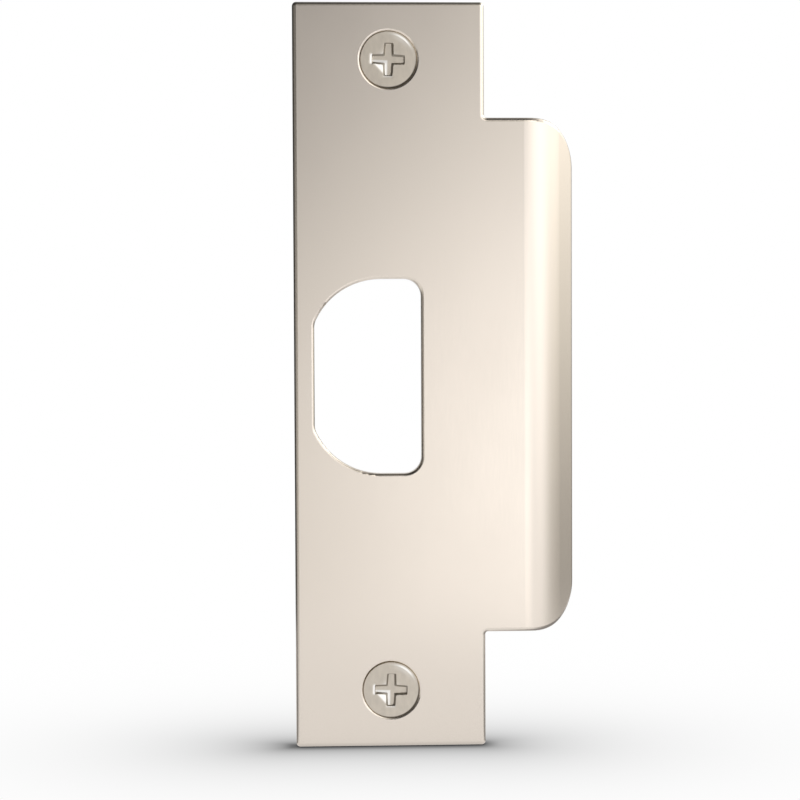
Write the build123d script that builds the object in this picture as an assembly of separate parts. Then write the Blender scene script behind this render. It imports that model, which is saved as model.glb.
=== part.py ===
from build123d import *

from math import cos, radians, sin, sqrt, tan
import os

# Full-lip door strike plate with its two countersunk fixing screws, in millimetres.
# +Z is up the door frame, the face that is seen looks along -Y, and the lip reaches out
# along +X and curls back along +Y. The origin is on the back face, half way between the
# screws.

# Plate
plate_width = 31.75
plate_height = 123.825
thickness = 2.38
edge_round = 0.7
back_edge_break = 0.15

# Lip, measured from the plate's centre line and on the front skin
lip_height = 85.725
lip_reach = 31.3
bend_start = 22.5
bend_radius = 9.5
lip_angle = 40.0
lip_corner_radius = 8.0
notch_corner_radius = 0.45

# Latch hole, measured from the plate's centre line
hole_near_lip = 5.3
hole_far_from_lip = 12.5
hole_height = 32.45
hole_arc_radius = 12.0
hole_arc_end_angle = 22.3
hole_small_radius = 2.9
hole_kink_radius = 3.0
hole_edge_round = 0.45

# Screws
screw_to_plate_end = 9.525
shank_diameter = 5.486
head_diameter = 9.3
screw_length = 12.7
cone_angle = 82.0
cone_height = 1.9
head_edge = 0.2
head_edge_round = 0.16
crown_height = 0.12
neck_radius = 0.22
tip_chamfer = 0.75

# Cross recess in the screw's head
recess_span = 5.4
recess_arm_width = 1.5
recess_end_depth = 0.45
recess_floor_slope = 20.0
recess_draft = 8.0
recess_turn = 1.8
dish_radius = 2.0
dish_slope = 20.0

# Screw holes in the plate: room round a screw, and the countersink's rounded front edge
seat_clearance = 0.05
countersink_margin = 0.2
countersink_edge_round = 0.5
shank_clearance = 0.35

# Derived places and sizes
screw_spacing = plate_height - 2 * screw_to_plate_end
front_face = -thickness
turn = radians(lip_angle)
cone_rate = tan(radians(cone_angle / 2))
bend_end = Vector(
    bend_start + bend_radius * sin(turn), front_face + bend_radius * (1 - cos(turn))
)
lip_direction = Vector(cos(turn), sin(turn))
lip_inward = Vector(-sin(turn), cos(turn))
lip_flat = (lip_reach - bend_end.X) / cos(turn)
lip_end = bend_end + lip_direction * lip_flat
countersink_radius = head_diameter / 2 + countersink_margin
screw_hole_radius = shank_diameter / 2 + shank_clearance
rim_y = front_face + countersink_margin / cone_rate - seat_clearance
crown_edge_y = rim_y - head_edge
crown_y = crown_edge_y - crown_height
crown_radius = ((head_diameter / 2) ** 2 + crown_height**2) / (2 * crown_height)

# Reach of a cutting shape past what it cuts, and how near counts as on a surface
beyond = plate_height
overshoot = 1.0
on_surface = 1e-4


def front_path():
    """The front skin seen from above: the flat face, the bend and the lip's straight end."""
    flat = Line((-plate_width / 2, front_face), (bend_start, front_face))
    bend = JernArc((bend_start, front_face), (1, 0), bend_radius, lip_angle)
    return Wire([flat, bend, Line(bend_end, lip_end)])


def back_path():
    """The back skin, one thickness inside the front one."""
    flat = Line((-plate_width / 2, 0), (bend_start, 0))
    bend = JernArc((bend_start, 0), (1, 0), bend_radius - thickness, lip_angle)
    end = bend @ 1 + lip_direction * lip_flat
    return Wire([flat, bend, Line(bend @ 1, end)])


def bent_sheet():
    """The sheet's section drawn up to the plate's full height."""
    front, back = front_path(), back_path()
    ends = [Line(front @ 0, back @ 0), Line(front @ 1, back @ 1)]
    section = make_face(front.edges() + back.edges() + ends)
    return Pos(0, 0, -plate_height / 2) * extrude(section, plate_height, dir=(0, 0, 1))


def notch():
    """The piece cut away above the lip, with a small radius in its inside corner."""
    low_corner = (Align.MIN, Align.CENTER, Align.MIN)
    block = Pos(plate_width / 2, 0, lip_height / 2) * Box(
        beyond, beyond, beyond, align=low_corner
    )
    inside_corner = block.edges().filter_by(Axis.Y).sort_by(Axis.X)[:2].sort_by(Axis.Z)[0]
    return fillet(inside_corner, notch_corner_radius)


def lip_corner():
    """The piece cut off the lip's upper corner, square to the lip's straight end."""
    across = Plane(origin=lip_end, x_dir=lip_direction, z_dir=-lip_inward)
    centre = Pos(-lip_corner_radius, lip_height / 2 - lip_corner_radius)
    side = lip_corner_radius + overshoot
    square = Rectangle(side, side, align=(Align.MIN, Align.MIN))
    outline = centre * (square - Circle(lip_corner_radius))
    return extrude(across * outline, bend_radius + thickness, both=True)


def skin_outline(plate, path):
    """Edges where one skin of the sheet, which stands on the path, meets the sheet's walls."""
    skin = []
    for face in plate.faces():
        middle = face.position_at(0.5, 0.5)
        upright = abs(face.normal_at(middle).Z) < on_surface
        if upright and path.distance_to(Vertex(middle.X, middle.Y, 0)) < on_surface:
            skin.append(face)
    edges = [edge for face in skin for edge in face.edges()]
    return ShapeList(edge for edge in edges if edges.count(edge) == 1)


def latch_hole():
    """Outline of the latch hole: two large arcs on the far side, two small ones by the lip."""
    top = hole_height / 2
    end = radians(hole_arc_end_angle)
    arc_x = -hole_far_from_lip + hole_arc_radius * cos(end)
    arc_z = top - hole_arc_radius
    side = (-hole_far_from_lip, arc_z + hole_arc_radius * sin(end))
    flat_end = (hole_near_lip - hole_small_radius, top)
    lip_side = (hole_near_lip, top - hole_small_radius)
    upper = [
        Line((-hole_far_from_lip, 0), side),
        RadiusArc(side, (arc_x, top), hole_arc_radius),
        Line((arc_x, top), flat_end),
        RadiusArc(flat_end, lip_side, hole_small_radius),
        Line(lip_side, (hole_near_lip, 0)),
    ]
    half = make_face(upper + [Line((hole_near_lip, 0), (-hole_far_from_lip, 0))])
    whole = half + mirror(half, Plane.XZ)
    kinks = [v for v in whole.vertices() if abs(abs(v.Y) - side[1]) < on_surface]
    return fillet(kinks, hole_kink_radius)


def cut_latch_hole(plate):
    """Punch the latch hole through the plate and round its front edge."""
    punch = extrude(Plane.XZ * latch_hole(), beyond, both=True)
    plate -= punch
    front = plate.edges().filter_by_position(
        Axis.Y, front_face - on_surface, front_face + on_surface
    )
    rim = front.filter_by(lambda e: punch.distance_to(e.position_at(0.5)) < on_surface)
    return fillet(rim, hole_edge_round)


def countersink():
    """The space that one screw takes out of the plate, on the Y axis."""
    cone_end_y = front_face + (countersink_radius - screw_hole_radius) / cone_rate
    front_y, back_y = front_face - overshoot, max(cone_end_y, 0) + overshoot
    profile = Polyline(
        (0, front_y),
        (countersink_radius + overshoot * cone_rate, front_y),
        (screw_hole_radius, cone_end_y),
        (screw_hole_radius, back_y),
        (0, back_y),
        close=True,
    )
    return revolve(make_face(profile), Axis.Y)


def sink_screw_holes(plate):
    """Cut both countersunk screw holes and round their front edges."""
    for z in (-screw_spacing / 2, screw_spacing / 2):
        plate -= Pos(0, 0, z) * countersink()
    circles = plate.edges().filter_by(GeomType.CIRCLE).filter_by_position(
        Axis.Y, front_face - on_surface, front_face + on_surface
    )
    rims = circles.filter_by(lambda e: abs(e.radius - countersink_radius) < on_surface)
    return fillet(rims, countersink_edge_round)


def strike_plate():
    """The whole plate: one bent sheet with its notches, rounded corners, edges and holes."""
    plate = bent_sheet()
    plate -= [notch(), mirror(notch(), Plane.XY)]
    plate -= [lip_corner(), mirror(lip_corner(), Plane.XY)]
    outer_corners = plate.edges().filter_by(Axis.Y).filter_by(
        lambda e: abs(abs(e.center().Z) - plate_height / 2) < on_surface
    )
    plate = fillet(skin_outline(plate, front_path()) + outer_corners, edge_round)
    plate = cut_latch_hole(plate)
    plate = chamfer(skin_outline(plate, back_path()), back_edge_break)
    return sink_screw_holes(plate)


def crown_y_at(radius):
    """Y of the head's crown, part of a large sphere, at a distance from the screw's axis."""
    return crown_y + crown_radius - sqrt(crown_radius**2 - radius**2)


def cross_recess():
    """The cross-shaped recess: four slightly drafted arms that end on a conical floor."""
    floor_rate = tan(radians(recess_floor_slope))
    top_y = crown_y - recess_end_depth
    floor_y = crown_y + recess_end_depth + recess_span / 2 * floor_rate
    arms = Rectangle(recess_span, recess_arm_width) + Rectangle(recess_arm_width, recess_span)
    top = Plane(origin=(0, top_y, 0), x_dir=(1, 0, 0), z_dir=(0, 1, 0))
    cross = extrude(top * arms, floor_y - top_y, taper=recess_draft)
    envelope = Polyline(
        (0, top_y),
        (recess_span, top_y),
        (recess_span, floor_y - recess_span * floor_rate),
        (0, floor_y),
        close=True,
    )
    return Rot(0, recess_turn, 0) * (cross & revolve(make_face(envelope), Axis.Y))


def screw():
    """One screw on the Y axis, its crowned head towards -Y and its shank along +Y."""
    head, shank = head_diameter / 2, shank_diameter / 2
    tip_y = crown_edge_y + screw_length
    neck = (shank, rim_y + cone_height)
    dish_rim = (dish_radius, crown_y_at(dish_radius))
    dish_centre = (0, dish_rim[1] + dish_radius * tan(radians(dish_slope)))
    crown_middle = (dish_radius + head) / 2
    crown = ThreePointArc(
        dish_rim, (crown_middle, crown_y_at(crown_middle)), (head, crown_edge_y)
    )
    side = Polyline(
        (head, crown_edge_y),
        (head, rim_y),
        (head - cone_height * cone_rate, rim_y + cone_height),
        neck,
        (shank, tip_y - tip_chamfer),
        (shank - tip_chamfer, tip_y),
        (0, tip_y),
        dish_centre,
        dish_rim,
    )
    half = make_face(crown.edges() + side.edges())
    half = fillet(half.vertices().sort_by_distance((head, crown_edge_y))[0], head_edge_round)
    half = fillet(half.vertices().sort_by_distance(neck)[0], neck_radius)
    return revolve(half, Axis.Y) - cross_recess()


def main():
    os.makedirs("parts", exist_ok=True)
    export_step(strike_plate(), "parts/strike_plate.step")
    one_screw = screw()
    places = {"upper_screw": screw_spacing / 2, "lower_screw": -screw_spacing / 2}
    for name, z in places.items():
        export_step(Pos(0, 0, z) * one_screw, f"parts/{name}.step")


main()
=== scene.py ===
from math import cos, pi, radians, sin, tan

import bpy
import numpy as np
from mathutils import Matrix, Vector


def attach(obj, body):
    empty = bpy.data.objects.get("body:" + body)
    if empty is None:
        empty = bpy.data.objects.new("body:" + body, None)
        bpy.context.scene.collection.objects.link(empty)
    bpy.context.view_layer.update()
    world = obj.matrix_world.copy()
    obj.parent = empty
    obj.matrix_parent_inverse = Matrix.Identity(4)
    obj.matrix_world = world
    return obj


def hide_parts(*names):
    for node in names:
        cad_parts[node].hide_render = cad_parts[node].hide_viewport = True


# Door strike plate with two cross-recess screws. The scene is in metres, in the CAD frame.

MM = 0.001
PLATE_WIDTH = 31.75 * MM
PLATE_HEIGHT = 123.825 * MM
PLATE_THICKNESS = 2.38 * MM
SCREW_SPACING = 104.775 * MM
SCREW_PLACES = {"upper_screw": SCREW_SPACING / 2, "lower_screw": -SCREW_SPACING / 2}

# Camera, fitted to the plate's outline, lip, latch hole and screws. Angles are in degrees
PICTURE_SIDE = 800
FOCAL_PIXELS = 1803.9
SENSOR_WIDTH = 36.0
VIEW_DISTANCE = 300 * MM
VIEW_YAW = 2.099
VIEW_PITCH = 1.865
VIEW_ROLL = -0.259
VIEW_TARGET = (1.696 * MM, -PLATE_THICKNESS, -3.944 * MM)
CLIP_START = 0.01
CLIP_END = 20.0

# Lamps: degrees round from the camera's side (90 is right), degrees up, degrees wide, strength
LAMPS = (
    (73.8, 20.2, 14.0, 2.08),
    (-18.2, -10.3, 8.0, 1.12),
    (-52.6, -13.1, 13.7, 0.64),
    (110.3, 36.4, 18.2, 3.0),
    (20.9, 30.1, 8.0, 2.2),
    (51.0, 8.0, 9.0, 0.22),
)
COOL_LAMPS = (
    (36.3, 7.1, 15.5, 1.62),
    (8.3, -4.2, 8.0, 1.6),
    (19.0, 0.0, 8.0, 0.12),
)
BACKDROP = (180, 8, 16, 0.9)

# Room's own light, the sines of height between which it turns, and cool light's extra colour
ROOM_ABOVE = 0.04
ROOM_BELOW = 0.77
ROOM_TURN = (-0.357, -0.16)
COOL_EXTRA = (0.0, 0.02, 0.09)

# Floor, a round table top that leaves a hair's gap below the plate
FLOOR_RADIUS = 140 * MM
FLOOR_MIDDLE = 7.5 * MM
FLOOR_GAP = 0.02 * MM
FLOOR_SIDES = 96
FLOOR_COLOR = (0.8, 0.8, 0.8, 1)
WHITE = (1, 1, 1, 1)

# Shade on the floor: close round the part, and depths and reaches of its fall from the foot
CLOSE_SHADE = 2.5 * MM
CLOSE_SHADE_SAMPLES = 16
FOOT_MIDDLE = (-0.8 * MM, -PLATE_THICKNESS / 2)
FOOT_HALF_SIZE = (PLATE_WIDTH / 2, PLATE_THICKNESS / 2)
FOOT_STRETCH = 1.3
FOOT_SHADES = ((0.3, 4 * MM), (0.48, 20 * MM))
MIRRORED_SHADE = 0.12
SIDE_DIM = 0.7
SIDE_FROM = 0.5
SIDE_REACH = (80 * MM, 120 * MM)
LEAST_DISTANCE = 0.1 * MM

# Satin nickel plating, with each scale as features to a metre along x, y and z
PLATE_PLATING = {
    "color": (0.757, 0.671, 0.56),
    "roughness": 0.25,
    "grain_scale": (9000, 9000, 500),
    "cloud_scale": (90, 90, 60),
    "cloud_depth": 0.008,
}
SCREW_PLATING = {
    "color": (0.655, 0.583, 0.475),
    "roughness": 0.5,
    "grain_scale": (6000, 6000, 6000),
    "cloud_scale": (1200, 1200, 600),
    "cloud_depth": 0.14,
    # Highlights and shade painted on the screws' heads
    "painted_light": True,
}
CLOUD_DETAIL, CLOUD_GLOSS = 3, 0.05
GRAIN_DETAIL, GRAIN_GLOSS = 2, 0.04
GRAIN_STRENGTH, GRAIN_HEIGHT = 0.15, 0.002 * MM
# Painted highlight colour and the gloss under it, and painted shade as a share of the plating
# colour
PAINTED_HIGHLIGHT_COLOR, HIGHLIGHT_ROUGHNESS = (0.96, 0.92, 0.84), 0.42
PAINTED_SHADE_TONE = 0.16

# Screw, in millimetres and degrees: the CAD's sizes, but for a flatter crown with a sharper edge
HEAD_RADIUS = 4.65
SHANK_RADIUS = 2.743
RIM_Y = -2.1999
CONE_HEIGHT = 1.9
CONE_HALF_ANGLE = 41.0
CONE_END_Y = RIM_Y + CONE_HEIGHT
CONE_END_RADIUS = HEAD_RADIUS - CONE_HEIGHT * tan(radians(CONE_HALF_ANGLE))
TIP_Y = 10.3
TIP_CHAMFER = 0.75
CROWN_EDGE_Y = -2.46
CROWN_HEIGHT = 0.037
CREST_Y = CROWN_EDGE_Y - CROWN_HEIGHT
CROWN_FROM = 3.5
EDGE_ROUND = 0.08
EDGE_DROP = 0.03

# Thread, in millimetres, but for its crest and flank, which are shares of the pitch
THREAD_PITCH = 25.4 / 24
THREAD_DEPTH = 0.6
THREAD_LEAD = 0.3
THREAD_HALF_CREST = 0.0625
THREAD_FLANK = 0.35

# Cross recess, in millimetres and degrees, shallower than the CAD's, as the light in it shows
ARM_REACH, ARM_FLOOR_REACH = 2.7, 2.62
ARM_HALF_WIDTH, ARM_FLOOR_HALF_WIDTH = 0.845, 0.545
ARM_TAPER = 0.1
ARM_RIM = 0.05
WALL_TOP_DROP = 0.03
# Share of shade painted on the recess's walls
WALL_SHADE = 0.5
RECESS_DEPTH = 0.38
RECESS_TURN = 1.8
CORNER_HOLLOW, CORNER_HOLLOW_REACH = 0.045, 1.5
# Edge width and fade of the L of highlight painted on the recess's floor
L_HIGHLIGHT_EDGE = 0.25
L_HIGHLIGHT_FADE = 0.08

# Pressed marks: triangles at the cross's lower left, upper left, lower right and upper right
PRESSED_LEG = 1.75
PRESSED_SLOPES = (0.17, 0.015, 0.01, 0.01)
PRESSED_POWER = 1.5
CORNER_OVERLAP = 0.1

# Pressed marks: ramps past the ends of the left and the lower arm
END_RAMP_LENGTH, END_RAMP_DEPTHS = 0.6, (0.08, 0.035)
END_RAMP_SIDES = (0.5, 1.15)
END_RAMP_LEAD, END_RAMP_OVERLAP = 0.1, 0.05
# Depth of a pressed mark at which its painted highlight is full
MARK_HIGHLIGHT_DEPTH = 0.05

# Worn step, painted highlights and painted shade at the head's edge; turns in degrees from +X
EDGE_WEAR_FROM, EDGE_WEAR_WIDTH, EDGE_WEAR_SLOPE = 4.1, 0.26, 0.23
EDGE_WEAR_AND_HIGHLIGHT_TURN, EDGE_WEAR_AND_HIGHLIGHT_POWER = 57.0, 12
EDGE_WEAR_TO = EDGE_WEAR_FROM + EDGE_WEAR_WIDTH
EDGE_HIGHLIGHT_RISE = (EDGE_WEAR_FROM - 0.08, EDGE_WEAR_FROM + 0.05)
EDGE_HIGHLIGHT_FALL = (EDGE_WEAR_TO, EDGE_WEAR_TO + 0.1)
NEAR_HIGHLIGHT, NEAR_HIGHLIGHT_RISE, NEAR_HIGHLIGHT_FALL = 0.3, (3.2, 3.9), (4.2, 4.4)
# Shade painted at the head's edge lower right: strength, turn, cosines and radii
RIM_SHADE, RIM_SHADE_TURN = 0.9, -52.0
RIM_SHADE_COSINES, RIM_SHADE_FROM = (0.15, 0.95), (4.46, 4.56)

# Rings of points in a screw, and how often a cross outline is averaged
COLUMNS = 256
RECESS_RINGS = 20
WALL_SHARES = (0.1, 0.35, 0.65, 0.9, 1.0)
MARKED_RINGS = 36
CROWN_RINGS = 24
EDGE_RINGS = 8
CONE_RINGS = 4
RINGS_A_PITCH = 16
WALL_SOFTENING, RIM_SOFTENING = 2, 3


def new_object(name, data):
    """An object in the scene, at the origin, unturned and unscaled."""
    made = bpy.data.objects.new(name, data)
    bpy.context.scene.collection.objects.link(made)
    return made


def place_camera():
    """The photograph's viewpoint, a little to the left of the plate and above its middle."""
    yaw, pitch, roll = radians(VIEW_YAW), radians(VIEW_PITCH), radians(VIEW_ROLL)
    back = Vector((-sin(yaw) * cos(pitch), -cos(yaw) * cos(pitch), sin(pitch)))
    level_right = (-back).cross(Vector((0, 0, 1))).normalized()
    level_up = level_right.cross(-back)
    right = cos(roll) * level_right + sin(roll) * level_up
    up = cos(roll) * level_up - sin(roll) * level_right
    lens = bpy.data.cameras.new("camera")
    lens.sensor_width = SENSOR_WIDTH
    lens.lens = FOCAL_PIXELS / PICTURE_SIDE * SENSOR_WIDTH
    lens.clip_start = CLIP_START
    lens.clip_end = CLIP_END
    move = Matrix.Translation(Vector(VIEW_TARGET) + VIEW_DISTANCE * back)
    camera = new_object("camera", lens)
    camera.matrix_world = move @ Matrix((right, up, back)).transposed().to_4x4()
    bpy.context.scene.camera = camera


def empty_tree(owner):
    """The node tree of a material or a world, with nothing in it."""
    owner.use_nodes = True
    owner.node_tree.nodes.clear()
    return owner.node_tree


def node(tree, kind, inputs=None, **settings):
    """One shader node with its settings, its inputs given as values or as sockets to link."""
    made = tree.nodes.new(kind)
    for key, value in settings.items():
        setattr(made, key, value)
    for key, value in (inputs or {}).items():
        if isinstance(value, bpy.types.NodeSocket):
            tree.links.new(value, made.inputs[key])
        else:
            made.inputs[key].default_value = value
    return made


def math_node(tree, operation, *values):
    """The result of one step of arithmetic."""
    return node(tree, "ShaderNodeMath", dict(enumerate(values)), operation=operation).outputs[0]


def mix(tree, kind, share, first, second):
    """Colours (RGBA) or numbers (FLOAT) mixed: the first at share 0 and the second at 1."""
    return node(tree, "ShaderNodeMix", {"Factor": share, "A": first, "B": second},
                data_type=kind).outputs["Result"]


def smooth_range(tree, value, low, high, at_low, at_high):
    """A smooth step of a value, from at_low where it is low to at_high where it is high."""
    return node(tree, "ShaderNodeMapRange", {
        "Value": value, "From Min": low, "From Max": high, "To Min": at_low, "To Max": at_high,
    }, interpolation_type="SMOOTHSTEP").outputs[0]


def combine(tree, channels):
    """A colour from its red, green and blue."""
    return node(tree, "ShaderNodeCombineColor", dict(enumerate(channels))).outputs[0]


def object_place(tree):
    """A point's Object coordinates, as the outputs X, Y and Z."""
    place = node(tree, "ShaderNodeTexCoord").outputs["Object"]
    return node(tree, "ShaderNodeSeparateXYZ", {0: place}).outputs


def mirrored(tree, ray):
    """1 for what metal or glass sees, from a Light Path's outputs."""
    return math_node(tree, "MAXIMUM", ray["Is Glossy Ray"], ray["Is Transmission Ray"])


def noise(tree, scale, detail):
    """Noise on Object coordinates, with how many features to a metre along each axis."""
    place = node(tree, "ShaderNodeTexCoord").outputs["Object"]
    stretched = node(tree, "ShaderNodeMapping", {"Vector": place, "Scale": scale}).outputs[0]
    return node(tree, "ShaderNodeTexNoise", {
        "Vector": stretched, "Scale": 1.0, "Detail": detail,
    }).outputs["Fac"]


def toned(color, gain):
    """A colour times a gain, with its alpha."""
    return (*[channel * gain for channel in color], 1)


def satin_nickel(name, color, roughness, grain_scale, cloud_scale, cloud_depth, painted_light=False):
    """Satin nickel plating: a fine stretched grain in height and gloss, and soft clouds in gloss
    and tint, both about the middle of their noise. With painted light, highlights are painted in a
    pale colour with a little smoother gloss, and shade is painted as a darker plating colour,
    where the mesh's attributes for them say."""
    material = bpy.data.materials.new(name)
    tree = empty_tree(material)
    clouds = noise(tree, cloud_scale, CLOUD_DETAIL)
    grain = noise(tree, grain_scale, GRAIN_DETAIL)
    least = roughness - (CLOUD_GLOSS + GRAIN_GLOSS) / 2
    gloss = math_node(tree, "MULTIPLY_ADD", clouds, CLOUD_GLOSS, least)
    gloss = math_node(tree, "MULTIPLY_ADD", grain, GRAIN_GLOSS, gloss)
    paint = mix(tree, "RGBA", clouds, toned(color, 1 - cloud_depth), toned(color, 1 + cloud_depth))
    # Highlights and shade painted from the mesh's attributes, with smoother gloss under the
    # highlights
    if painted_light:
        painted_highlight, painted_shade = [node(tree, "ShaderNodeAttribute", attribute_name=tone).outputs["Fac"]
                        for tone in ("painted_highlight", "painted_shade")]
        gloss = mix(tree, "FLOAT", painted_highlight, gloss, HIGHLIGHT_ROUGHNESS)
        paint = mix(tree, "RGBA", painted_highlight, paint, toned(PAINTED_HIGHLIGHT_COLOR, 1))
        paint = mix(tree, "RGBA", painted_shade, paint, toned(color, PAINTED_SHADE_TONE))
    height = node(tree, "ShaderNodeBump", {
        "Height": grain, "Strength": GRAIN_STRENGTH, "Distance": GRAIN_HEIGHT,
    })
    shader = node(tree, "ShaderNodeBsdfPrincipled", {
        "Base Color": paint, "Metallic": 1.0, "Roughness": gloss, "Normal": height.outputs[0],
    })
    node(tree, "ShaderNodeOutputMaterial", {"Surface": shader.outputs[0]})
    return material


def smooth_step(value, low, high):
    """0 below low, 1 above high, with a smooth turn between them."""
    t = np.clip((value - low) / (high - low), 0, 1)
    return t * t * (3 - 2 * t)


def band(value, rise, fall):
    """1 in a band of values and 0 outside it, with a smooth step over each of its two ends."""
    return smooth_step(value, *rise) * (1 - smooth_step(value, *fall))


def shares(count):
    """Even shares of a way, from its first step to its end."""
    return np.arange(1, count + 1) / count


def cross_outline(reach, half_width, softening):
    """A plus sign's outline, whose arms narrow to their tips, walked at even steps and then
    averaged along it to round its corners."""
    tip = half_width - ARM_TAPER
    arm = np.array([(reach, -tip), (reach, tip), (half_width, half_width)])
    turns = [np.array([[cos(a), -sin(a)], [sin(a), cos(a)]]) for a in np.arange(4) * pi / 2]
    points = np.concatenate([arm @ turn.T for turn in turns])
    closed = np.vstack([points, points[:1]])
    lengths = np.r_[0, np.cumsum(np.hypot(*np.diff(closed, axis=0).T))]
    walk = (np.arange(COLUMNS) + 0.5) / COLUMNS * lengths[-1]
    line = np.stack([np.interp(walk, lengths, closed[:, k]) for k in (0, 1)], -1)
    for _ in range(softening):
        line = (np.roll(line, 1, 0) + 2 * line + np.roll(line, -1, 0)) / 4
    return line


def crown_y(r):
    """Y of the plain crown, part of a large sphere, at a distance from the screw's axis."""
    sphere = (HEAD_RADIUS**2 + CROWN_HEIGHT**2) / (2 * CROWN_HEIGHT)
    return CREST_Y + sphere - np.sqrt(sphere**2 - r**2)


def pressed_depth(x, z):
    """How deep the head is pressed in round the cross. In a corner between two arms it is a
    triangle, whose depth goes with the power PRESSED_POWER of 1 less how far x and z together
    lie past the corner, as a share of PRESSED_LEG. Past an arm's end it is a smooth step."""
    a, b = np.abs(x) - ARM_HALF_WIDTH, np.abs(z) - ARM_HALF_WIDTH
    low_left, top_left, low_right, top_right = PRESSED_SLOPES
    left_slope = np.where(z < 0, low_left, top_left)
    right_slope = np.where(z < 0, low_right, top_right)
    slope = np.where(x < 0, left_slope, right_slope)
    left_over = np.maximum(1 - (np.maximum(a, 0) + np.maximum(b, 0)) / PRESSED_LEG, 0)
    in_corner = (a > -CORNER_OVERLAP) & (b > -CORNER_OVERLAP)
    triangle = np.where(in_corner, slope * PRESSED_LEG * left_over**PRESSED_POWER, 0)
    ramp = 0
    for depth, along, across in zip(END_RAMP_DEPTHS, (-x, -z), (z, x)):
        past_end = along - ARM_REACH
        fall = 1 - smooth_step(past_end, -END_RAMP_LEAD, END_RAMP_LENGTH)
        side = 1 - smooth_step(np.abs(across), *END_RAMP_SIDES)
        ramp = ramp + np.where(past_end > -END_RAMP_OVERLAP, depth * fall * side, 0)
    return np.maximum(triangle, ramp)


def edge_wear_and_highlight(r, turn):
    """A narrow step of wear along the head's edge: its depth, which grows evenly across it, and a
    highlight painted on it, with a fainter painted highlight on its inner side. Both fade with the
    power EDGE_WEAR_AND_HIGHLIGHT_POWER of the cosine of the angle from its middle."""
    wear_and_highlight = np.maximum(np.cos(turn - radians(EDGE_WEAR_AND_HIGHLIGHT_TURN)), 0) ** EDGE_WEAR_AND_HIGHLIGHT_POWER
    depth = EDGE_WEAR_SLOPE * wear_and_highlight * np.clip(r - EDGE_WEAR_FROM, 0, EDGE_WEAR_WIDTH)
    # The highlight painted on the step, and the fainter one painted inside it
    on_step = band(r, EDGE_HIGHLIGHT_RISE, EDGE_HIGHLIGHT_FALL)
    near_step = NEAR_HIGHLIGHT * band(r, NEAR_HIGHLIGHT_RISE, NEAR_HIGHLIGHT_FALL)
    return depth, wear_and_highlight * (on_step + near_step)


def head_surface(x, z):
    """Y of the head's top outside the recess, and how much highlight and shade are painted on its
    metal. It is the crown, lowered by the pressed marks and the step of wear. Highlights are
    painted on the pressed marks and the step, and shade is painted at the edge's lower right, by
    smooth steps of the angle's cosine and of the distance from the axis."""
    r, turn = np.hypot(x, z), np.arctan2(z, x)
    pressed = pressed_depth(x, z)
    worn_depth, edge_highlight = edge_wear_and_highlight(r, turn)
    # Highlights painted on the pressed marks and the step, and shade painted at the edge's lower
    # right
    painted_highlight = np.maximum(smooth_step(pressed, 0.0, MARK_HIGHLIGHT_DEPTH), edge_highlight)
    at_turn = smooth_step(np.cos(turn - radians(RIM_SHADE_TURN)), *RIM_SHADE_COSINES)
    painted_shade = RIM_SHADE * at_turn * smooth_step(r, *RIM_SHADE_FROM)
    return crown_y(r) + pressed + worn_depth, np.clip(painted_highlight, 0, 1), painted_shade


def recess_floor_y(line):
    """Y of the recess's floor: flat, but in the lower arm's left half it turns up with the
    square of the distance from the arm's middle line, and evenly turns back to flat along the
    left arm."""
    x, z = line.T
    from_middle = np.clip(-x / ARM_FLOOR_HALF_WIDTH, 0, 1)
    turned_up = from_middle**2 * smooth_step(-z, 0.0, CORNER_HOLLOW_REACH)
    along = (-x - ARM_FLOOR_HALF_WIDTH) / (ARM_FLOOR_REACH - ARM_FLOOR_HALF_WIDTH)
    return CREST_Y + RECESS_DEPTH - CORNER_HOLLOW * turned_up * (1 - np.clip(along, 0, 1))


def recess_floor_highlight(line):
    """The highlight painted on the recess's floor: the left arm's lower half and the lower arm's
    left half, together an L with smooth edges, a little stronger towards its corner."""
    x, z = line.T
    in_l = smooth_step(-x, 0.0, L_HIGHLIGHT_EDGE) * smooth_step(-z, 0.0, L_HIGHLIGHT_EDGE)
    from_corner = np.hypot(x + ARM_FLOOR_HALF_WIDTH, z + ARM_FLOOR_HALF_WIDTH)
    return in_l * (1 - L_HIGHLIGHT_FADE * from_corner)


def thread_radius(y, angle):
    """The shank's radius at a place along its axis and an angle: a ridge with a flat crest and
    straight flanks, which climbs one pitch a turn, grows from nothing over the first pitch,
    and is cut by the tip's chamfer."""
    start = CONE_END_Y + THREAD_LEAD
    phase = (y / THREAD_PITCH - angle / (2 * pi)) % 1.0
    ridge = np.clip(1 - (np.abs(phase - 0.5) - THREAD_HALF_CREST) / THREAD_FLANK, 0, 1)
    grown = smooth_step(y, start, start + THREAD_PITCH)
    chamfer = SHANK_RADIUS - max(0.0, y - (TIP_Y - TIP_CHAMFER))
    return np.minimum(SHANK_RADIUS - THREAD_DEPTH * (1 - ridge * grown), chamfer)


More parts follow.
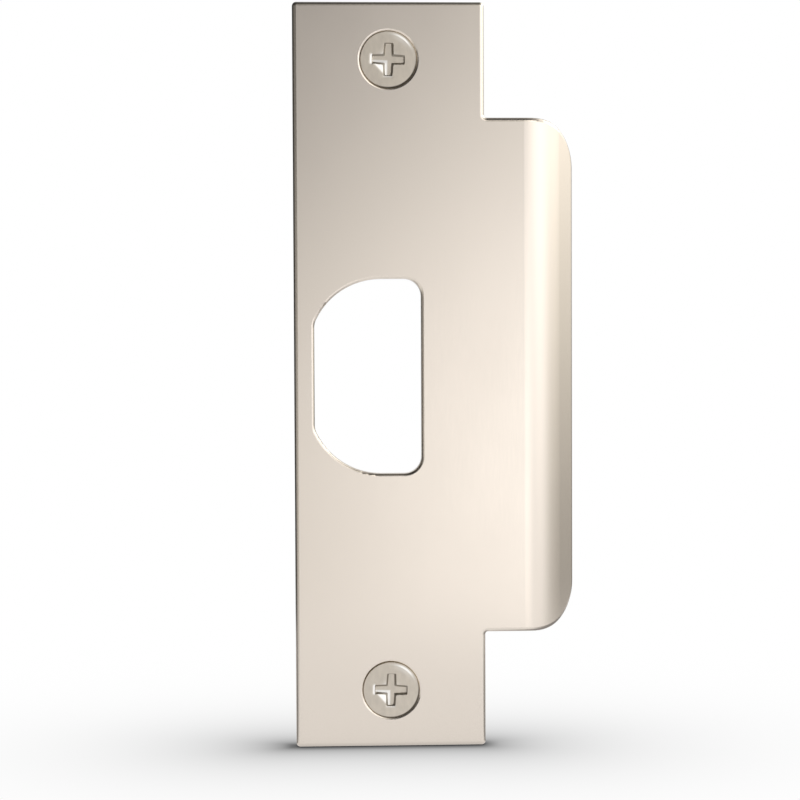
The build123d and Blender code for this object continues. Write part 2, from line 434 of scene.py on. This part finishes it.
def screw_rings():
    """Every ring of a screw, from the recess's middle out over the head and down to the tip.
    A ring is one closed curve of COLUMNS points, x, y and z in millimetres, each with how much
    highlight and shade is painted on it. Rings lie at shares of the way between the curves that
    bound the recess's floor, its wall, the crown, the head's round edge and the cone, and then
    at even steps down the thread."""
    angle = (np.arange(COLUMNS) + 0.5) / COLUMNS * 2 * pi
    start = np.arctan2(ARM_TAPER - ARM_HALF_WIDTH, ARM_REACH)
    circle = np.stack([np.cos(angle + start), np.sin(angle + start)], -1)
    wall_foot = cross_outline(ARM_FLOOR_REACH, ARM_FLOOR_HALF_WIDTH, WALL_SOFTENING)
    wall_top = cross_outline(ARM_REACH, ARM_HALF_WIDTH, WALL_SOFTENING)
    rim_line = cross_outline(ARM_REACH + ARM_RIM, ARM_HALF_WIDTH + ARM_RIM, RIM_SOFTENING)
    rings = []

    def add(line, y, painted_highlight=0.0, painted_shade=0.0):
        """One more ring, whose y, painted highlight and painted shade are numbers or one for each
        point.
        """
        columns = (line[:, 0], y, line[:, 1], painted_highlight, painted_shade)
        rings.append(np.stack([np.broadcast_to(column, COLUMNS) for column in columns], -1))

    # Floor rings, with the L of highlight painted on them
    for share in shares(RECESS_RINGS):
        line = wall_foot * share
        add(line, recess_floor_y(line), recess_floor_highlight(line))
    foot_y = recess_floor_y(wall_foot)
    top_y = head_surface(*wall_top.T)[0] + WALL_TOP_DROP
    # Wall rings, with shade painted on them
    for share in WALL_SHARES:
        line = wall_foot + (wall_top - wall_foot) * share
        add(line, foot_y + (top_y - foot_y) * share, painted_shade=WALL_SHADE)
    for share in np.linspace(0, 1, MARKED_RINGS):
        line = rim_line + (circle * CROWN_FROM - rim_line) * share
        add(line, *head_surface(*line.T))
    edge = HEAD_RADIUS - EDGE_ROUND
    for share in shares(CROWN_RINGS):
        line = circle * (CROWN_FROM + (edge - CROWN_FROM) * share)
        add(line, *head_surface(*line.T))
    # The edge's round keeps the highlight and shade painted on the crown's last ring, and the rim
    # keeps the shade
    _, edge_y, _, painted_highlight, painted_shade = rings[-1].T
    for turn in shares(EDGE_RINGS) * pi / 2:
        line = circle * (edge + EDGE_ROUND * sin(turn))
        add(line, edge_y + (RIM_Y - EDGE_DROP - edge_y) * (1 - cos(turn)), painted_highlight, painted_shade)
    add(circle * HEAD_RADIUS, RIM_Y, painted_shade=painted_shade)
    for share in shares(CONE_RINGS):
        r = HEAD_RADIUS + (CONE_END_RADIUS - HEAD_RADIUS) * share
        add(circle * r, RIM_Y + CONE_HEIGHT * share)
    for share in shares(CONE_RINGS):
        r = CONE_END_RADIUS + (SHANK_RADIUS - THREAD_DEPTH - CONE_END_RADIUS) * share
        add(circle * r, CONE_END_Y)
    thread_start = CONE_END_Y + THREAD_LEAD
    count = int((TIP_Y - thread_start) / THREAD_PITCH * RINGS_A_PITCH)
    for y in np.linspace(thread_start, TIP_Y, count):
        add(circle * thread_radius(y, angle)[:, None], y)
    return np.array(rings)


def screw_mesh(name, height):
    """The screw's rings, turned about its axis and joined by quads into one closed surface,
    with one point at each end."""
    rings = screw_rings()
    turn = radians(RECESS_TURN)
    x, z = rings[..., 0].copy(), rings[..., 2].copy()
    rings[..., 0] = x * cos(turn) + z * sin(turn)
    rings[..., 2] = z * cos(turn) - x * sin(turn)
    count = len(rings)
    middle = [[0, recess_floor_y(np.zeros((1, 2)))[0], 0, 0, 0]]
    tip = [[0, rings[-1, 0, 1], 0, 0, 0]]
    rows = np.concatenate([rings.reshape(-1, 5), middle, tip])
    points = rows[:, :3] * MM
    points[:, 2] += height
    grid = np.arange(count * COLUMNS).reshape(count, COLUMNS)
    near, far = grid[:-1], grid[1:]
    quads = np.stack([near, np.roll(near, -1, 1), np.roll(far, -1, 1), far], -1).reshape(-1, 4)
    first, last = grid[0], grid[-1]
    middle_row, tip_row = np.full(COLUMNS, len(rows) - 2), np.full(COLUMNS, len(rows) - 1)
    caps = [np.stack([middle_row, np.roll(first, -1), first], -1),
            np.stack([tip_row, last, np.roll(last, -1)], -1)]
    mesh = bpy.data.meshes.new(name)
    mesh.from_pydata(points, [], quads.tolist() + np.concatenate(caps).tolist())
    # Highlight and shade painted on the points, for the screw's material
    for column, tone in ((3, "painted_highlight"), (4, "painted_shade")):
        mesh.attributes.new(tone, "FLOAT", "POINT").data.foreach_set("value", rows[:, column])
    mesh.validate()
    mesh.shade_smooth()
    return mesh


def beyond(tree, value, reach):
    """How far a value lies past a reach to either side of 0, and 0 within it."""
    past = math_node(tree, "SUBTRACT", math_node(tree, "ABSOLUTE", value), reach)
    return math_node(tree, "MAXIMUM", past, 0.0)


def length(tree, across, along):
    """The length of a line from how far it goes across and along."""
    squares = [math_node(tree, "MULTIPLY", part, part) for part in (across, along)]
    return math_node(tree, "SQRT", math_node(tree, "ADD", *squares))


def foot_shade(tree):
    """The soft shade that falls off on the floor from the plate's foot: 1 less a sum of
    exponentials of the distance from the foot, a rectangle in the floor's Object coordinates,
    with distances to its front and back stretched."""
    place = object_place(tree)
    outside = []
    for axis, middle, half_size in zip("XY", FOOT_MIDDLE, FOOT_HALF_SIZE):
        from_middle = math_node(tree, "SUBTRACT", place[axis], middle)
        outside.append(beyond(tree, from_middle, half_size))
    stretched = math_node(tree, "MULTIPLY", outside[1], FOOT_STRETCH)
    distance = length(tree, outside[0], stretched)
    left = 1.0
    for depth, reach in FOOT_SHADES:
        fall = math_node(tree, "EXPONENT", math_node(tree, "MULTIPLY", distance, -1 / reach))
        left = math_node(tree, "SUBTRACT", left, math_node(tree, "MULTIPLY", fall, depth))
    return left


def side_dimness(tree):
    """How much dimmer metal sees the floor to the plate's left and right: a smooth step of the
    sine of the angle from straight ahead at the plate's side, which ends at a distance."""
    place = object_place(tree)
    across = beyond(tree, place["X"], PLATE_WIDTH / 2)
    distance = length(tree, across, place["Y"])
    safe_distance = math_node(tree, "MAXIMUM", distance, LEAST_DISTANCE)
    sine = math_node(tree, "DIVIDE", across, safe_distance)
    to_side = smooth_range(tree, sine, SIDE_FROM, 1.0, 0.0, SIDE_DIM)
    near = smooth_range(tree, distance, *SIDE_REACH, 1.0, 0.0)
    return math_node(tree, "MULTIPLY", to_side, near)


def floor_material():
    """Pale floor: white to the eye and in reflections, and darker where the part closes it in
    and round the plate's foot. A reflection has MIRRORED_SHADE of that shade, as a power of it,
    the cool light's colour, and less light to the plate's sides."""
    material = bpy.data.materials.new("pale_floor")
    tree = empty_tree(material)
    ray = node(tree, "ShaderNodeLightPath").outputs
    to_eye = ray["Is Camera Ray"]
    elsewhere = math_node(tree, "SUBTRACT", 1.0, to_eye)
    close = node(tree, "ShaderNodeAmbientOcclusion", {"Distance": CLOSE_SHADE},
                 samples=CLOSE_SHADE_SAMPLES)
    shade = math_node(tree, "MULTIPLY", close.outputs["AO"], foot_shade(tree))
    depth = math_node(tree, "MULTIPLY_ADD", to_eye, 1 - MIRRORED_SHADE, MIRRORED_SHADE)
    shade = math_node(tree, "POWER", shade, depth)
    dim = math_node(tree, "MULTIPLY", side_dimness(tree), elsewhere)
    shade = math_node(tree, "MULTIPLY", shade, math_node(tree, "SUBTRACT", 1.0, dim))
    gains = [math_node(tree, "MULTIPLY_ADD", elsewhere, extra, 1.0) for extra in COOL_EXTRA]
    tone = combine(tree, [math_node(tree, "MULTIPLY", shade, gain) for gain in gains])
    white = node(tree, "ShaderNodeEmission", {"Color": tone, "Strength": 1.0})
    lit = node(tree, "ShaderNodeBsdfDiffuse", {"Color": FLOOR_COLOR})
    seen = math_node(tree, "MAXIMUM", to_eye, mirrored(tree, ray))
    shader = node(tree, "ShaderNodeMixShader", {0: seen, 1: lit.outputs[0], 2: white.outputs[0]})
    node(tree, "ShaderNodeOutputMaterial", {"Surface": shader.outputs[0]})
    return material


def lay_floor():
    """A flat round table top just under the plate."""
    angle = np.arange(FLOOR_SIDES) / FLOOR_SIDES * 2 * pi
    height = np.full(FLOOR_SIDES, -PLATE_HEIGHT / 2 - FLOOR_GAP)
    across = FLOOR_MIDDLE + FLOOR_RADIUS * np.cos(angle)
    rim = np.stack([across, FLOOR_RADIUS * np.sin(angle), height], -1)
    mesh = bpy.data.meshes.new("floor")
    mesh.from_pydata(rim, [], [list(range(FLOOR_SIDES))])
    mesh.materials.append(floor_material())
    new_object("floor", mesh)


def soft_lamp(tree, direction, turn, height, width, strength):
    """A round patch of light far away, strongest in its middle, that falls off like a bell:
    strength * exp((cosine of the angle from its middle - 1) / width**2)."""
    a, e = radians(turn), radians(height)
    middle = (sin(a) * cos(e), -cos(a) * cos(e), sin(e))
    near = node(tree, "ShaderNodeVectorMath", {0: direction, 1: middle}, operation="DOT_PRODUCT")
    off = math_node(tree, "SUBTRACT", near.outputs["Value"], 1.0)
    fall = math_node(tree, "MULTIPLY", off, 1 / radians(width) ** 2)
    return math_node(tree, "MULTIPLY", math_node(tree, "EXPONENT", fall), strength)


def light_the_room():
    """Soft lamps in a dim room, whose own light is a smooth step of the height. The eye sees
    white everywhere, and metal sees the white backdrop behind the part."""
    world = bpy.data.worlds.new("studio")
    bpy.context.scene.world = world
    tree = empty_tree(world)
    direction = node(tree, "ShaderNodeTexCoord").outputs["Generated"]
    up = node(tree, "ShaderNodeSeparateXYZ", {0: direction}).outputs["Z"]
    ray = node(tree, "ShaderNodeLightPath").outputs
    backdrop = soft_lamp(tree, direction, *BACKDROP)
    warm = math_node(tree, "MULTIPLY", backdrop, mirrored(tree, ray))
    cool = smooth_range(tree, up, *ROOM_TURN, ROOM_BELOW, ROOM_ABOVE)
    for lamp in LAMPS:
        warm = math_node(tree, "ADD", warm, soft_lamp(tree, direction, *lamp))
    for lamp in COOL_LAMPS:
        cool = math_node(tree, "ADD", cool, soft_lamp(tree, direction, *lamp))
    tone = combine(tree, [math_node(tree, "MULTIPLY_ADD", cool, 1 + extra, warm)
                          for extra in COOL_EXTRA])
    color = mix(tree, "RGBA", ray["Is Camera Ray"], tone, WHITE)
    light = node(tree, "ShaderNodeBackground", {"Color": color, "Strength": 1.0})
    node(tree, "ShaderNodeOutputWorld", {"Surface": light.outputs[0]})


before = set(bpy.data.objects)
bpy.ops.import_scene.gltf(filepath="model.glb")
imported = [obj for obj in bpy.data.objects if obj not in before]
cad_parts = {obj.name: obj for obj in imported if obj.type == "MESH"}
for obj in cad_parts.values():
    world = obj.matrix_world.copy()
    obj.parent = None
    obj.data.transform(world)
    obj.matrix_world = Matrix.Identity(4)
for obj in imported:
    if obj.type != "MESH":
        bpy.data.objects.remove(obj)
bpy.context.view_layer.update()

place_camera()
bpy.context.scene.view_settings.view_transform = "Standard"

plate_finish = satin_nickel("plate_finish", **PLATE_PLATING)
screw_finish = satin_nickel("screw_finish", **SCREW_PLATING)

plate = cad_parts["strike_plate"]
plate.data.materials[0] = plate_finish
for screw_name, screw_height in SCREW_PLACES.items():
    made = new_object(screw_name + "_turned", screw_mesh(screw_name, screw_height))
    made.data.materials.append(screw_finish)
    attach(made, "root")
    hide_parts(screw_name)

lay_floor()
light_the_room()
